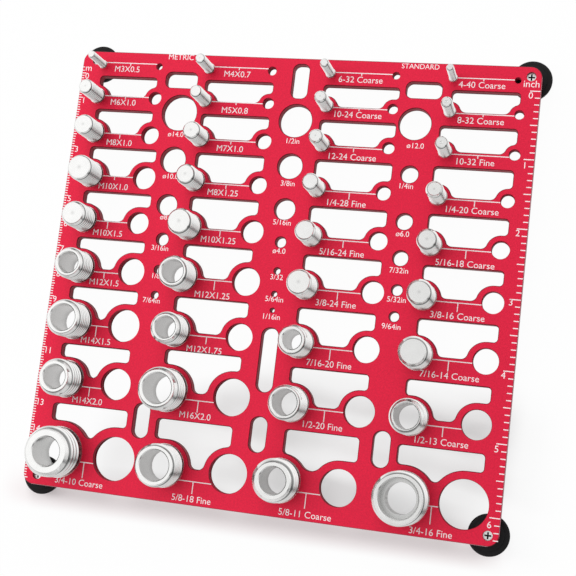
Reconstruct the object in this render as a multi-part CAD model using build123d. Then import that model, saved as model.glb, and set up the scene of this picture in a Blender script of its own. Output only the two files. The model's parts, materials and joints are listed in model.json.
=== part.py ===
from build123d import *
from dataclasses import dataclass
import math
import os

# Thread checker: one flat plate with a threaded stud and a matching tapped hole for each thread
# size, plain gauge holes, lightening cut-outs, and a rubber foot under each corner.
# Millimetres. It lies on its feet: X runs along the plate's width, Y along its height as it is
# read, Z up out of its face. The origin is under the middle of the part, on the feet's soles.

mm_per_inch = 25.4

# Plate
plate_thickness = 3.5
plate_corner_radius = 4.2
bottom_margin = 13.2  # from the lower edge to the lowest row of stations
top_margin = 5.35  # from the top row of stations to the upper edge
left_margin = 8.4  # from the left edge to the first column of cut-outs
right_margin = 6.9  # from the last column of cut-outs to the right edge

# Steps from each row of stations to the row above, from the lowest row up
row_steps = [27.8, 22.45, 20.95, 19.0, 17.95, 17.0, 14.9, 12.85]

# Height of the strip under each row that carries its labels, from the second lowest row up
label_strips = [9.6, 9.05, 8.0, 7.2, 6.7, 5.9, 5.5, 4.75]

# Columns of stations from the left: steps from the left side of each column's cut-outs to that of
# the next, then places measured from that left side
column_steps = [44.0, 47.1, 44.5]
stud_places = [1.7, 0.7, 1.85, 0.95]  # axes of the studs
hole_places = [23.95, 26.0, 26.9, 26.0]  # axes of the tapped holes
cutout_widths = [27.9, 27.1, 29.1, 28.7]

# Studs
stud_height = 11.5  # above the plate's face
small_stud_height = 12.2  # the studs up to small_stud_limit in diameter
small_stud_limit = 6.5
thread_depth_share = 0.61  # depth of a stud's thread, over its pitch
tip_chamfer_extra = 0.1  # the chamfer round a stud's tip is this much deeper than the thread
centre_mark_diameter = 1.1  # of the centre drilling in the tips of two small studs
centre_mark_depth = 0.7
wide_bore_depth = 6.5  # how far the wider mouth of the stepped bore goes down
collar_width = 0.2  # a stud's pressed end is this much wider than its thread, on the radius
collar_height = 0.15  # and stands this far out of the plate's face
press_clearance = 0.01  # left round a stud's pressed end, on the radius
tapped_share = 1.0825  # a tapped hole is narrower than its thread by this share of the pitch

# Lands left by the cut-outs round the studs and round the tapped holes
stud_land = 1.5
hole_land = 1.35
cutout_corner = 1.4  # rounding of a cut-out's upper and side corners
corners_in_wall = 2.2  # a side wall is at least this many of those roundings high
floor_corner = 2.4  # rounding where a land runs into the floor of a cut-out

# Slots between the columns
slot_width = 6.2
slot_length = 12.9
long_slot_length = 23.7
tall_slot_length = 13.3
slot_corner = 2.4  # rounding of the corners of the slots in the top row
round_end_share = 0.94  # rounding of the other slots' corners, over half their width

# Corner fixings
foot_inset_left = 5.6  # from the left edge to the axis of a foot
foot_inset_right = 3.9
foot_inset_end = 3.7  # from the lower and the upper edge to the axis of a foot
foot_diameter = 14.8
foot_height = 4.5
foot_sole_inset = 0.9  # the sole's edge lies this far inside the widest part
foot_hub_diameter = 10.8  # raised middle that meets the back of the plate
foot_hub_height = 0.7
foot_rim_inset = 0.9  # the upper edge of the side lies this far inside the widest part
foot_belly_share = 0.85  # height of the widest part, over that of the side's upper edge
screw_diameter = 2.0
screw_head_diameter = 3.3
screw_head_height = 1.0
screw_clearance = 0.15  # round the shank and round the head, on the radius
screw_sink = 1.2  # from the plate's face down to the top of the screw's head
screw_tail = 0.3  # sticks out below the nut
recess_span = 2.4  # from tip to tip of the cross in the screw's head
recess_width = 0.6
recess_depth = 0.7
nut_flats = 4.0
nut_height = 1.6
nut_cover = 0.9  # from the nut's lower face to the foot's sole
nut_pocket_gap = 0.2  # between the nut's corners and its round pocket
nut_thread_gap = 0.02  # between the screw's shank and the nut, on the radius


@dataclass
class Station:
    """One thread size: a stud, its tapped hole, and the cut-out above the line between them.

    What follows the bore is left out where the station keeps to its column and its row.
    """

    name: str
    major: float  # outside diameter of the thread
    pitch: float  # from one turn of the thread to the next
    bore: float = 0.0  # drilled right through a hollow stud
    mouth: float = 0.0  # wider diameter of the bore's upper part
    stud_shift: float = 0.0  # the stud's axis, right of its column's line
    stud_drop: float = 0.0  # the stud's axis, below its row
    hole_shift: float = 0.0
    left_shift: float = 0.0  # the left side of the cut-out
    right_shift: float = 0.0
    top_shift: float = 0.0
    land_extra: float = 0.0  # width added to both lands
    floor_extra: float = 0.0  # added to the rounding of the floor
    height: float = 0.0  # of the stud above the plate's face
    centre_mark: bool = False
    open_row: bool = False  # the top row has no cut-outs

    def place(self, column, row_y, cut_top):
        """Set the station's places, from the plate's lower left corner."""
        start = column_places[column]
        stud_x = start + stud_places[column] + self.stud_shift
        self.stud_at = Vector(stud_x, row_y - self.stud_drop)
        self.hole_at = Vector(start + hole_places[column] + self.hole_shift, row_y)
        self.left = start + self.left_shift
        self.right = start + cutout_widths[column] + self.right_shift
        self.floor = row_y
        self.open_row = cut_top is None
        self.top = 0.0 if self.open_row else cut_top + self.top_shift
        usual = small_stud_height if self.major < small_stud_limit else stud_height
        self.height = self.height or usual

    @property
    def tapped_diameter(self):
        """Inside diameter of the tapped hole, between the crests of its thread."""
        return self.major - tapped_share * self.pitch

    @property
    def tip_chamfer(self):
        """Chamfer round the stud's tip, just deeper than the thread that runs out on it."""
        return thread_depth_share * self.pitch + tip_chamfer_extra

    @property
    def collar_radius(self):
        """Radius of the stud's pressed end."""
        return self.major / 2 + collar_width

    @property
    def stud_land_radius(self):
        return self.major / 2 + stud_land + self.land_extra

    @property
    def hole_land_radius(self):
        return self.major / 2 + hole_land + self.land_extra


def inch_thread(name, diameter, turns_per_inch, bore=0.0, **differences):
    """A station with an inch thread, given by its diameter in inches and turns in an inch."""
    return Station(
        name, diameter * mm_per_inch, mm_per_inch / turns_per_inch, bore, **differences)


def screw_number(number):
    """Diameter in inches of a numbered screw size."""
    return 0.060 + 0.013 * number


# Rows of stations from the lowest row up, each from the left
rows = [
    [
        inch_thread("3_4_in_10", 0.75, 10, 11.0, stud_shift=3.0, hole_shift=3.25, right_shift=2.4,
                    land_extra=0.95),
        inch_thread("5_8_in_18", 0.625, 18, 11.3, stud_shift=2.4, hole_shift=2.2, left_shift=-1.7,
                    right_shift=0.7, top_shift=-1.2, land_extra=0.35, height=10.3),
        inch_thread("5_8_in_11", 0.625, 11, 9.8, stud_shift=-1.35, hole_shift=-4.6, left_shift=0.7,
                    right_shift=-1.0, top_shift=0.3, land_extra=0.45, floor_extra=2.0, height=10.0),
        inch_thread("3_4_in_16", 0.75, 16, 11.2, mouth=14.2, stud_drop=0.6, hole_shift=-3.5,
                    left_shift=-2.3, right_shift=-0.4, top_shift=-0.3, land_extra=0.7, height=10.1),
    ],
    [
        Station("m14x2_0", 14.0, 2.0, 8.9, stud_shift=2.0),
        Station("m16x2_0", 16.0, 2.0, 11.2, left_shift=-1.8, right_shift=0.8, top_shift=1.7,
                land_extra=0.3),
        inch_thread("1_2_in_20", 0.5, 20, 9.2),
        inch_thread("1_2_in_13", 0.5, 13, 9.0, hole_shift=-1.75, left_shift=-1.7, right_shift=-0.5),
    ],
    [
        Station("m14x1_5", 14.0, 1.5, 10.0, stud_shift=2.0, top_shift=0.4),
        Station("m12x1_75", 12.0, 1.75, 8.0, left_shift=-0.9, right_shift=1.0),
        inch_thread("7_16_in_20", 0.4375, 20, 7.0),
        inch_thread("7_16_in_14", 0.4375, 14, hole_shift=-0.7),
    ],
    [
        Station("m12x1_5", 12.0, 1.5, 8.0, stud_shift=1.0),
        Station("m12x1_25", 12.0, 1.25, 8.5, top_shift=0.4),
        inch_thread("3_8_in_24", 0.375, 24),
        inch_thread("3_8_in_16", 0.375, 16, hole_shift=-0.2, top_shift=-0.4),
    ],
    [
        Station("m10x1_5", 10.0, 1.5),
        Station("m10x1_25", 10.0, 1.25, top_shift=0.5),
        inch_thread("5_16_in_24", 0.3125, 24),
        inch_thread("5_16_in_18", 0.3125, 18, stud_shift=0.8, hole_shift=0.7),
    ],
    [
        Station("m10x1_0", 10.0, 1.0, right_shift=-0.4),
        Station("m8x1_25", 8.0, 1.25),
        inch_thread("1_4_in_28", 0.25, 28),
        inch_thread("1_4_in_20", 0.25, 20, stud_shift=1.6, hole_shift=1.5),
    ],
    [
        Station("m8x1_0", 8.0, 1.0, stud_shift=-1.0, right_shift=-4.1),
        Station("m7x1_0", 7.0, 1.0),
        inch_thread("no12_24", screw_number(12), 24, right_shift=-0.3),
        inch_thread("no10_32", screw_number(10), 32, stud_shift=2.4, hole_shift=2.4, left_shift=0.7,
                    centre_mark=True),
    ],
    [
        Station("m6x1_0", 6.0, 1.0, stud_shift=-2.0, right_shift=-4.1),
        Station("m5x0_8", 5.0, 0.8),
        inch_thread("no10_24", screw_number(10), 24, right_shift=-0.3),
        inch_thread("no8_32", screw_number(8), 32, stud_shift=2.7, hole_shift=2.7, left_shift=3.8,
                    right_shift=-0.2, land_extra=0.3, centre_mark=True),
    ],
    [
        Station("m3x0_5", 3.0, 0.5, stud_shift=-1.45),
        Station("m4x0_7", 4.0, 0.7),
        inch_thread("no6_32", screw_number(6), 32),
        inch_thread("no4_40", screw_number(4), 40, stud_shift=2.65, hole_shift=1.1),
    ],
]


@dataclass
class GaugeLine:
    """Plain gauge holes one under the other, left of a column."""

    column: int  # the column to its right
    gap: float  # from the line to the left side of that column's cut-outs
    drop: float  # from the top row of stations down to the first hole
    diameters: list
    steps: list  # from each hole down to the next


gauge_lines = [
    GaugeLine(1, 9.2, 18.2, [14.0, 10.0, 8.0, 3 / 16 * mm_per_inch, 1 / 8 * mm_per_inch,
                             7 / 64 * mm_per_inch], [18.8, 17.8, 13.5, 11.8, 9.8]),
    GaugeLine(2, 9.6, 19.1, [1 / 2 * mm_per_inch, 3 / 8 * mm_per_inch, 5 / 16 * mm_per_inch, 4.0,
                             3 / 32 * mm_per_inch, 5 / 64 * mm_per_inch, 1 / 16 * mm_per_inch],
              [17.7, 16.5, 12.6, 10.9, 8.7, 6.1]),
    GaugeLine(3, 8.7, 18.1, [12.0, 1 / 4 * mm_per_inch, 6.0, 7 / 32 * mm_per_inch,
                             5 / 32 * mm_per_inch, 9 / 64 * mm_per_inch],
              [19.1, 17.65, 13.6, 11.75, 9.7]),
]


@dataclass
class Slot:
    """A rounded slot in the strip left of a column."""

    column: int  # the column to its right
    gap: float  # from the slot's middle to the left side of that column's cut-outs
    row: int  # the row of stations that its middle is measured from
    rise: float  # of its middle above that row
    length: float
    upright: bool = True
    corner: float = round_end_share * slot_width / 2


slots = [
    Slot(1, 10.05, 8, -5.15, slot_length, False, slot_corner),
    Slot(2, 9.55, 8, -3.65, tall_slot_length, True, slot_corner),
    Slot(3, 6.65, 8, -5.15, tall_slot_length, False, slot_corner),
    Slot(2, 9.3, 1, 15.05, long_slot_length),
    Slot(1, 8.0, 0, 15.4, slot_length),
    Slot(2, 9.4, 0, 15.4, slot_length),
    Slot(3, 8.3, 0, 15.4, slot_length),
]

foot_radius = foot_diameter / 2
plate_back = foot_height
plate_face = plate_back + plate_thickness


def running_sum(start, steps):
    """The places reached from start by each step in turn."""
    places = [start]
    for step in steps:
        places.append(places[-1] + step)
    return places


row_places = running_sum(bottom_margin, row_steps)
column_places = running_sum(left_margin, column_steps)
plate_width = column_places[-1] + cutout_widths[-1] + right_margin
plate_height = row_places[-1] + top_margin

# Corner fixings from the plate's lower left corner
foot_places = {
    "front_left": Vector(foot_inset_left, foot_inset_end),
    "front_right": Vector(plate_width - foot_inset_right, foot_inset_end),
    "back_left": Vector(foot_inset_left, plate_height - foot_inset_end),
    "back_right": Vector(plate_width - foot_inset_right, plate_height - foot_inset_end),
}

# The part's origin from the plate's lower left corner: the middle between the outermost edges,
# which are those of the feet where they stand out past the plate
origin_x = (max(plate_width, plate_width - foot_inset_right + foot_radius)
            + min(0.0, foot_inset_left - foot_radius)) / 2
origin_y = plate_height / 2


def place_stations():
    """Give every station its place and return them all, row by row."""
    for number, row in enumerate(rows):
        cut_top = None
        if number < len(row_steps):
            cut_top = row_places[number + 1] - label_strips[number]
        for column, station in enumerate(row):
            station.place(column, row_places[number], cut_top)
    return [station for row in rows for station in row]


def gauge_holes():
    """Diameter and place of every plain gauge hole."""
    found = []
    for line in gauge_lines:
        x = column_places[line.column] - line.gap
        heights = running_sum(row_places[-1] - line.drop, [-step for step in line.steps])
        found += [(size, Vector(x, y)) for size, y in zip(line.diameters, heights)]
    return found


def short_arc(centre, start, end):
    """The arc about centre from start to end, the short way round."""
    radius = (start - centre).length
    middle = centre + ((start + end) / 2 - centre).normalized() * radius
    return ThreePointArc(start, middle, end)


def upper_meeting(a, reach_a, b, reach_b):
    """The upper of the two points at reach_a from a and at reach_b from b."""
    across = b - a
    along = (reach_a**2 - reach_b**2 + across.length**2) / (2 * across.length)
    rise = math.sqrt(reach_a**2 - along**2)
    unit = across.normalized()
    return a + unit * along + Vector(-unit.Y, unit.X) * rise


def floor_centre(land_at, land_radius, side, floor, corner):
    """Centre of the rounding between a land and the floor. side is 1 right of the land."""
    reach = land_radius + corner
    rise = floor + corner - land_at.Y
    return Vector(land_at.X + side * math.sqrt(reach**2 - rise**2), floor + corner)


def land_edges(land_at, land_radius, wall_x, side, top, corner, low_centre):
    """One side of a cut-out: its upper corner, its wall, and round the land to the floor.

    side is 1 where the cut-out lies right of the land. low_centre is the centre of the rounding
    that takes over from the land.
    """
    centre_x = wall_x + side * corner
    reach = land_radius + corner
    beyond = side * (land_at.X - centre_x)
    rise = reach if beyond >= 0 else math.sqrt(reach**2 - beyond**2)
    turn = Vector(centre_x, land_at.Y + rise)
    wall_foot = Vector(wall_x, turn.Y)
    wall_head = Vector(wall_x, top - corner)
    head_centre = Vector(centre_x, top - corner)
    edges = [
        short_arc(head_centre, Vector(centre_x, top), wall_head),
        Line(wall_head, wall_foot),
    ]
    land_end = land_at + (low_centre - land_at).normalized() * land_radius
    if beyond > 0:
        flat_end = Vector(land_at.X, land_at.Y + land_radius)
        turn_end = Vector(centre_x, land_at.Y + land_radius)
        edges += [short_arc(turn, wall_foot, turn_end), Line(turn_end, flat_end)]
    else:
        flat_end = land_at + (turn - land_at).normalized() * land_radius
        edges.append(short_arc(turn, wall_foot, flat_end))
    edges.append(short_arc(land_at, flat_end, land_end))
    return edges, land_end


def cutout_wire(station):
    """Outline of the cut-out: a slot that dips between the stud's land and the hole's land."""
    stud_radius, hole_radius = station.stud_land_radius, station.hole_land_radius
    low = floor_corner + station.floor_extra
    highest_land = station.floor + max(stud_radius, hole_radius)
    corner = min(cutout_corner, (station.top - highest_land) / corners_in_wall)
    stud_low = floor_centre(station.stud_at, stud_radius, 1, station.floor, low)
    hole_low = floor_centre(station.hole_at, hole_radius, -1, station.floor, low)
    narrow = stud_low.X > hole_low.X
    if narrow:
        stud_low = upper_meeting(
            station.stud_at, stud_radius + low, station.hole_at, hole_radius + low)
        hole_low = stud_low
    left, left_end = land_edges(
        station.stud_at, stud_radius, station.left, 1, station.top, corner, stud_low)
    right, right_end = land_edges(
        station.hole_at, hole_radius, station.right, -1, station.top, corner, hole_low)
    roof = Line(
        Vector(station.left + corner, station.top), Vector(station.right - corner, station.top))
    if narrow:
        floor = [short_arc(stud_low, left_end, right_end)]
    else:
        left_foot = Vector(stud_low.X, station.floor)
        right_foot = Vector(hole_low.X, station.floor)
        floor = [
            short_arc(stud_low, left_end, left_foot),
            Line(left_foot, right_foot),
            short_arc(hole_low, right_foot, right_end),
        ]
    return Wire([roof] + left + floor + right)


def round_wire(diameter, at):
    """A circle about a place on the plate."""
    return Wire(Edge.make_circle(diameter / 2, Plane(origin=at)))


def slot_wire(slot):
    """A rounded rectangle for one slot."""
    width, height = (slot_width, slot.length) if slot.upright else (slot.length, slot_width)
    x = column_places[slot.column] - slot.gap
    y = row_places[slot.row] + slot.rise
    return (Pos(x, y) * RectangleRounded(width, height, slot.corner)).wire()


def gauge_plate(stations):
    """The plate, from its back at z = 0, with every opening and the corner fixings' bores."""
    middle = Pos(plate_width / 2, plate_height / 2)
    outline = (middle * RectangleRounded(plate_width, plate_height, plate_corner_radius)).wire()
    openings = [slot_wire(slot) for slot in slots]
    openings += [round_wire(size, at) for size, at in gauge_holes()]
    for station in stations:
        openings.append(round_wire(2 * (station.collar_radius + press_clearance), station.stud_at))
        openings.append(round_wire(station.tapped_diameter, station.hole_at))
        if not station.open_row:
            openings.append(cutout_wire(station))
    shank_bore = screw_diameter + 2 * screw_clearance
    openings += [round_wire(shank_bore, at) for at in foot_places.values()]
    plate = extrude(Face(outline, openings), plate_thickness, dir=(0, 0, 1))
    head_room = screw_head_height + screw_sink
    for at in foot_places.values():
        head_bore = Cylinder(
            screw_head_diameter / 2 + screw_clearance, head_room,
            align=(Align.CENTER, Align.CENTER, Align.MAX))
        plate -= Pos(at.X, at.Y, plate_thickness) * head_bore
    return plate


def turned(outline):
    """A solid of revolution about Z from corner points given as radius and height."""
    profile = make_face(Polyline([Vector(r, 0, z) for r, z in outline], close=True))
    return revolve(profile, Axis.Z)


def stud(station):
    """A turned stud whose pressed end stands at z = 0, flush with the plate's back."""
    radius = station.major / 2
    collar = station.collar_radius
    collar_top = plate_thickness + collar_height
    length = plate_thickness + station.height
    chamfer = station.tip_chamfer
    outside = [
        (collar, 0), (collar, collar_top), (radius, collar_top),
        (radius, length - chamfer), (radius - chamfer, length)]
    bore = station.bore / 2
    if station.mouth:
        step = length - wide_bore_depth
        mouth = station.mouth / 2
        inside = [(mouth, length), (mouth, step), (bore, step), (bore, 0)]
    elif station.bore:
        inside = [(bore, length), (bore, 0)]
    elif station.centre_mark:
        inside = [(centre_mark_diameter / 2, length), (0, length - centre_mark_depth), (0, 0)]
    else:
        inside = [(0, length), (0, 0)]
    return turned(outside + inside)


def foot():
    """A rubber foot with its sole at z = 0, bored for its screw and pocketed for the nut."""
    sole_radius = foot_radius - foot_sole_inset
    rim_radius = foot_radius - foot_rim_inset
    rim_height = foot_height - foot_hub_height
    hub_radius = foot_hub_diameter / 2
    bore = screw_diameter / 2 + screw_clearance
    pocket = nut_flats / math.sqrt(3) + nut_pocket_gap
    pocket_top = nut_cover + nut_height
    return turned([
        (bore, foot_height), (hub_radius, foot_height), (hub_radius, rim_height),
        (rim_radius, rim_height), (foot_radius, rim_height * foot_belly_share), (sole_radius, 0),
        (pocket, 0), (pocket, pocket_top), (bore, pocket_top)])


def foot_screw():
    """A screw whose shank ends at z = 0, with a cross recess in its flat head."""
    shank = plate_thickness - screw_sink - screw_head_height + foot_height - nut_cover + screw_tail
    top = shank + screw_head_height
    radius = screw_diameter / 2
    head = screw_head_diameter / 2
    screw = turned([(0, 0), (radius, 0), (radius, shank), (head, shank), (head, top), (0, top)])
    arm = Box(recess_span, recess_width, recess_depth, align=(Align.CENTER, Align.CENTER, Align.MAX))
    cross = arm + Rot(0, 0, 90) * arm
    return screw - Pos(0, 0, top) * cross


def foot_nut():
    """A hexagon nut standing on z = 0."""
    body = extrude(RegularPolygon(nut_flats / 2, 6, major_radius=False), nut_height)
    hole = Cylinder(
        screw_diameter / 2 + nut_thread_gap, nut_height,
        align=(Align.CENTER, Align.CENTER, Align.MIN))
    return body - hole


def all_pieces():
    """Every piece by name, in its place on the finished part."""
    stations = place_stations()
    pieces = {"gauge_plate": Pos(-origin_x, -origin_y, plate_back) * gauge_plate(stations)}
    for station in stations:
        at = station.stud_at
        pieces["stud_" + station.name] = Pos(
            at.X - origin_x, at.Y - origin_y, plate_back) * stud(station)
    for corner, at in foot_places.items():
        under = Pos(at.X - origin_x, at.Y - origin_y, 0)
        pieces["foot_" + corner] = under * foot()
        pieces["foot_screw_" + corner] = under * Pos(0, 0, nut_cover - screw_tail) * foot_screw()
        pieces["foot_nut_" + corner] = under * Pos(0, 0, nut_cover) * foot_nut()
    return pieces


os.makedirs("parts", exist_ok=True)
pieces = all_pieces()
for name, piece in pieces.items():
    piece.label = name
    export_step(piece, f"parts/{name}.step")
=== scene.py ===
import json
import math
from collections import namedtuple
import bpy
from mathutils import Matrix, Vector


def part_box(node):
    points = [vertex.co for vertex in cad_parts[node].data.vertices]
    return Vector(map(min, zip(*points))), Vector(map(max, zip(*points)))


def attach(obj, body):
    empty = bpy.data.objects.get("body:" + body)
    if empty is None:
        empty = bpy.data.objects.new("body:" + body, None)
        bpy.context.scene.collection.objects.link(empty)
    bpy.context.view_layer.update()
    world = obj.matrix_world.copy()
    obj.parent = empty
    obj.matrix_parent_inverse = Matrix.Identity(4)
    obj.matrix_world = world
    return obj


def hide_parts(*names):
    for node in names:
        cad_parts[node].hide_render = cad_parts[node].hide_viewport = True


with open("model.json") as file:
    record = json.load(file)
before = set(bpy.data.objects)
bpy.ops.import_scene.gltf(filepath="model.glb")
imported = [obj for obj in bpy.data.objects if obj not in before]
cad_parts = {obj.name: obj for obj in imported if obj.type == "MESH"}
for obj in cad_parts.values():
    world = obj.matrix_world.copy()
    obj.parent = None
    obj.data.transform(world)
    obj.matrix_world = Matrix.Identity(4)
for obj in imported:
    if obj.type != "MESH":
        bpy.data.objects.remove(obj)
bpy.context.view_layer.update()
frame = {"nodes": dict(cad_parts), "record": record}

from types import SimpleNamespace

import bmesh
import bpy
import numpy as np
from bpy.props import FloatProperty, FloatVectorProperty, IntProperty, PointerProperty
from mathutils import Euler, Vector, geometry

bl_info = {
    "name": "Thread checker",
    "version": (1, 0, 0),
    "blender": (4, 5, 0),
    "location": "3D View > Sidebar > Thread checker",
    "description": "Dresses the thread checker: its plate, threaded studs, engraving and feet",
    "category": "Object",
}

MM = 0.001
HALF = 0.5

RECORD = frame["record"]
MOUNTS = {mount["name"]: mount for mount in RECORD["mounts"]}
NOTES = RECORD["mount_notes"]

# The plate's left and front edges and its back, then its right edge and its face, in millimetres
PLATE_LOW, PLATE_HIGH = (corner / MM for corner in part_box("gauge_plate"))
LEFT, FRONT, BACK = PLATE_LOW
RIGHT, _, FACE = PLATE_HIGH

# What is engraved at each station, in millimetres from the plate's lower left corner: its words,
# their middle, the height of the line from the stud to the hole, and the lower end of its tick
STATIONS = {
    "m3x0_5": ("M3X0.5", (19.1, 164.6), 167.0, (20.3, 166.0)),
    "m4x0_7": ("M4X0.7", (64.7, 164.3), 166.9, (65.2, 165.9)),
    "no6_32": ("6-32 Coarse", (113.1, 164.0), 166.5, (113.3, 165.5)),
    "no4_40": ("4-40 Coarse", (158.3, 163.8), 166.2, (158.8, 165.3)),
    "m6x1_0": ("M6X1.0", (19.3, 151.0), 153.4, (20.0, 152.4)),
    "m5x0_8": ("M5X0.8", (65.5, 149.9), 153.0, (65.7, 152.0)),
    "no10_24": ("10-24 Coarse", (113.6, 150.4), 152.85, (113.8, 151.9)),
    "no8_32": ("8-32 Coarse", (159.1, 150.3), 152.75, (159.8, 151.8)),
    "m8x1_0": ("M8X1.0", (20.0, 134.7), 138.2, (19.9, 136.3)),
    "m7x1_0": ("M7X1.0", (65.5, 134.8), 137.8, (65.6, 136.4)),
    "no12_24": ("12-24 Coarse", (113.3, 134.2), 137.65, (113.5, 136.1)),
    "no10_32": ("10-32 Fine", (158.7, 134.9), 137.4, (159.4, 136.2)),
    "m10x1_0": ("M10X1.0", (20.1, 117.1), 121.1, (20.2, 119.6)),
    "m8x1_25": ("M8X1.25", (64.9, 117.5), 120.7, (65.9, 119.0)),
    "1_4_in_28": ("1/4-28 Fine", (113.1, 116.6), 120.7, (113.8, 118.1)),
    "1_4_in_20": ("1/4-20 Coarse", (159.3, 117.0), 120.6, (159.9, 118.4)),
    "m10x1_5": ("M10X1.5", (20.5, 98.6), 103.1, (20.0, 100.2)),
    "m10x1_25": ("M10X1.25", (65.5, 99.2), 102.9, (65.9, 100.5)),
    "5_16_in_24": ("5/16-24 Fine", (113.4, 98.0), 102.5, (113.6, 99.9)),
    "5_16_in_18": ("5/16-18 Coarse", (158.6, 97.4), 102.4, (158.6, 99.3)),
    "m12x1_5": ("M12X1.5", (21.9, 79.3), 83.1, (21.5, 80.7)),
    "m12x1_25": ("M12X1.25", (65.9, 78.1), 83.7, (66.3, 80.0)),
    "3_8_in_24": ("3/8-24 Fine", (113.4, 79.0), 83.5, (113.7, 80.4)),
    "3_8_in_16": ("3/8-16 Coarse", (157.8, 78.4), 83.2, (157.6, 80.0)),
    "m14x1_5": ("M14X1.5", (21.8, 56.6), 62.25, (21.4, 58.1)),
    "m12x1_75": ("M12X1.75", (65.5, 57.4), 62.3, (65.9, 59.5)),
    "7_16_in_20": ("7/16-20 Fine", (113.4, 56.8), 62.3, (113.4, 58.3)),
    "7_16_in_14": ("7/16-14 Coarse", (157.1, 57.0), 62.3, (156.4, 58.6)),
    "m14x2_0": ("M14X2.0", (21.8, 33.6), 38.7, (22.1, 35.2)),
    "m16x2_0": ("M16X2.0", (65.3, 32.7), 38.3, (65.9, 34.0)),
    "1_2_in_20": ("1/2-20 Fine", (113.7, 34.4), 40.0, (113.9, 35.8)),
    "1_2_in_13": ("1/2-13 Coarse", (156.7, 33.6), 38.9, (156.8, 35.4)),
    "3_4_in_10": ("3/4-10 Coarse", (23.0, 2.9), 10.5, (24.1, 4.6)),
    "5_8_in_18": ("5/8-18 Fine", (67.9, 2.4), 8.7, (67.9, 4.3)),
    "5_8_in_11": ("5/8-11 Coarse", (110.9, 2.4), 10.0, (110.6, 4.5)),
    "3_4_in_16": ("3/4-16 Fine", (156.1, 2.2), 11.2, (155.6, 4.9)),
}

# The words beside the gauge holes, each with its middle, and their share of the letter height
GAUGE_WORDS = [
    ("ø14.0", 42.9, 139.3), ("ø10.0", 43.1, 122.6), ("ø8.0", 43.6, 106.5),
    ("3/16in", 42.7, 94.4), ("1/8in", 43.7, 83.6), ("7/64in", 42.1, 74.1),
    ("1/2in", 89.9, 139.1), ("3/8in", 89.9, 122.7), ("5/16in", 89.5, 107.7),
    ("ø4.0", 89.7, 96.9), ("3/32", 90.0, 87.0), ("5/64in", 90.1, 78.7),
    ("1/16in", 89.9, 72.1), ("ø12.0", 136.3, 139.8), ("1/4in", 134.6, 124.5),
    ("ø6.0", 135.1, 106.7), ("7/32in", 135.2, 93.2), ("5/32in", 135.5, 82.5),
    ("9/64in", 134.6, 72.6),
]
GAUGE_SHARE = 0.85

# The words at the plate's edges, each with its share too, and the numbers of the inch ruler
EDGE_WORDS = [
    ("METRIC", 41.0, 170.3, 0.92), ("STANDARD", 135.1, 170.0, 0.80), ("cm", 1.8, 164.5, 1.12),
    ("inch", 176.0, 165.0, 1.08),
]
INCH_DIGITS = [
    ("0", 176.1, 160.7), ("1", 176.3, 134.8), ("2", 176.1, 110.0), ("3", 176.0, 85.1),
    ("4", 175.8, 59.2), ("5", 175.9, 33.5), ("6", 175.9, 7.5),
]

# The rulers' zero from the plate's front edge, an inch and a centimetre
RULER_ZERO = 162.3
INCH = 25.4
CENTIMETRE = 10.0

# How many centimetres are numbered, the middles of numbers with one and with two digits, and how
# far they stand below their ticks
CENTIMETRES = 16
CM_MIDDLES = (2.4, 2.8)
CM_DROP = 1.15

# Each ruler's ticks: where they begin from the plate's left edge, which way they point, their
# spacing, their three lengths, their count, and every how many one is middle or long
RULERS = {
    "ruler_inch": (RIGHT - LEFT - 0.2, -1.0, INCH / 10, (1.8, 2.6, 3.7), (64, 5, 10)),
    "ruler_cm": (0.2, 1.0, 1.0, (1.0, 1.3, 1.65), (161, 5, 10)),
}

# How far inside a stud its line to the hole begins
LINE_START = 0.2

# Left round a stud's pressed end in the plate, and how far that end stands out of the face
SEAT_GAP = 0.01
COLLAR_HEIGHT = 0.15

FOOT_CORNERS = ["front_left", "front_right", "back_left", "back_right"]

# Half of a foot's section, as radius and height: its hub, its rim, its sole and its nut pocket
FOOT_PROFILE = [
    (1.15, 4.5), (5.25, 4.5), (5.4, 4.4), (5.4, 3.92), (5.55, 3.8), (6.4, 3.8), (6.75, 3.77),
    (7.05, 3.65), (7.28, 3.46), (7.39, 3.23), (7.37, 2.9), (7.32, 2.4), (7.22, 1.8), (7.08, 1.2),
    (6.9, 0.65), (6.72, 0.3), (6.55, 0.08), (6.4, 0.0), (2.9, 0.0), (2.51, 0.0), (2.51, 2.5),
    (1.15, 2.5),
]

# The photograph's camera: its place from the lower left corner of the plate's face in millimetres,
# its turn in degrees, its sensor and lens, how far its middle lies off the picture's, as shares of
# 576 pixels, and what is too near for it
EYE = (202.607, 28.925, 412.246)
EYE_TURN = (8.955592, 13.63611, 6.998258)
EYE_SENSOR = 36.0
EYE_LENS = 72.64
EYE_SHIFT = (-0.92 / 576, 0.60 / 576)
EYE_NEAR = 0.01

WHITE = (1.0, 1.0, 1.0, 1.0)

# Points nearer than this, in metres, are one point
WELD = 5e-7
CAD_WELD = 1e-6

# No round shape has fewer segments
LEAST_SEGMENTS = 16

# The inputs of a mix node that blends colours: its share and its two colours
MIX_INPUTS = (0, 6, 7)

# Edges up to these angles, in degrees, are shaded smooth
SMOOTH_TO = 35.0
SMOOTH_STUD = 38.0
SMOOTH_ENGRAVING = 20.0


def sums(operation, swapped=False):
    """A method of a wire that adds the node of one operation of maths."""
    def method(self, other):
        return self.tree.maths(operation, *((other, self) if swapped else (self, other)))
    return method


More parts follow.
